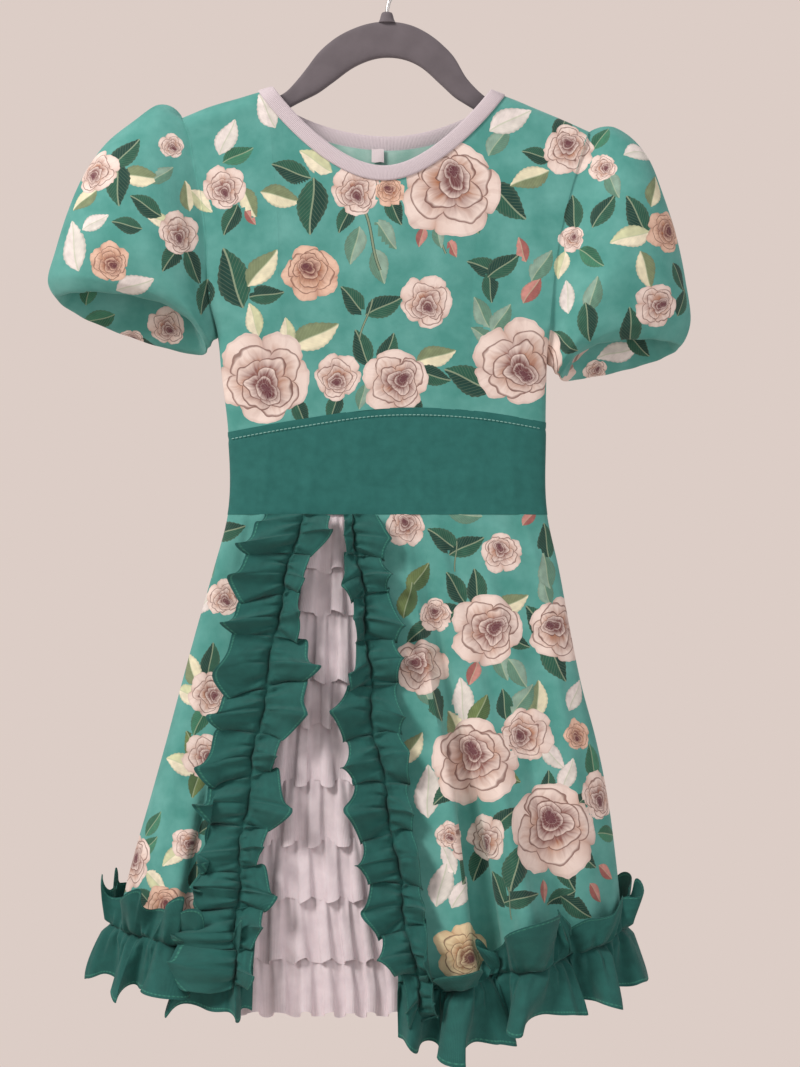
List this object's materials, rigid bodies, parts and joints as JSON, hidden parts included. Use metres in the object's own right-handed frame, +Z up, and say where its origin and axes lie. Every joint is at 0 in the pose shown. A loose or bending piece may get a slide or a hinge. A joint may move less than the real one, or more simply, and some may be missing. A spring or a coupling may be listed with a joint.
{
  "type": "girl's ruffle dress on a hanger",
  "caption": "Short-sleeved girl's dress hung flat on a hanger: floral knit, puff sleeves, plain waistband, split skirt over white tiers, gathered green double ruffles.",
  "frame": {"origin": "inside top of the hanger's hook, where it bears on the rail", "axes": "+Z up, the dress front faces -Y, +X to the right seen from the front"},
  "size_m": [0.525, 0.1746, 0.9016],
  "materials": {
    "print_knit": "soft printed jersey, teal ground with cream and mauve roses and green leaves",
    "green_cloth": "plain matt green, overlocked edges",
    "white_knit": "soft white jersey and rib",
    "hanger_grey": "matt grey, slightly velvety",
    "hook_steel": "bright steel wire"
  },
  "bodies": {
    "root": {"hanger_body": "hanger_grey", "hanger_collar": "hanger_grey", "hanger_hook": "hook_steel", "neckband": "white_knit", "neck_tab": "white_knit", "bodice_front": "print_knit", "bodice_back": "print_knit", "sleeve_left": "print_knit", "sleeve_right": "print_knit", "waistband_front": "green_cloth", "waistband_back": "green_cloth", "skirt_front_left": "print_knit", "skirt_front_right": "print_knit", "skirt_back": "print_knit", "front_ruffle_left": "green_cloth", "front_ruffle_right": "green_cloth", "hem_ruffle_front_left": "green_cloth", "hem_ruffle_front_right": "green_cloth", "hem_ruffle_back": "green_cloth", "insert_base": "white_knit", "tier_1": "white_knit", "tier_2": "white_knit", "tier_3": "white_knit", "tier_4": "white_knit", "tier_5": "white_knit", "tier_6": "white_knit", "tier_7": "white_knit", "tier_8": "white_knit", "tier_9": "white_knit"}
  },
  "joints": []
}
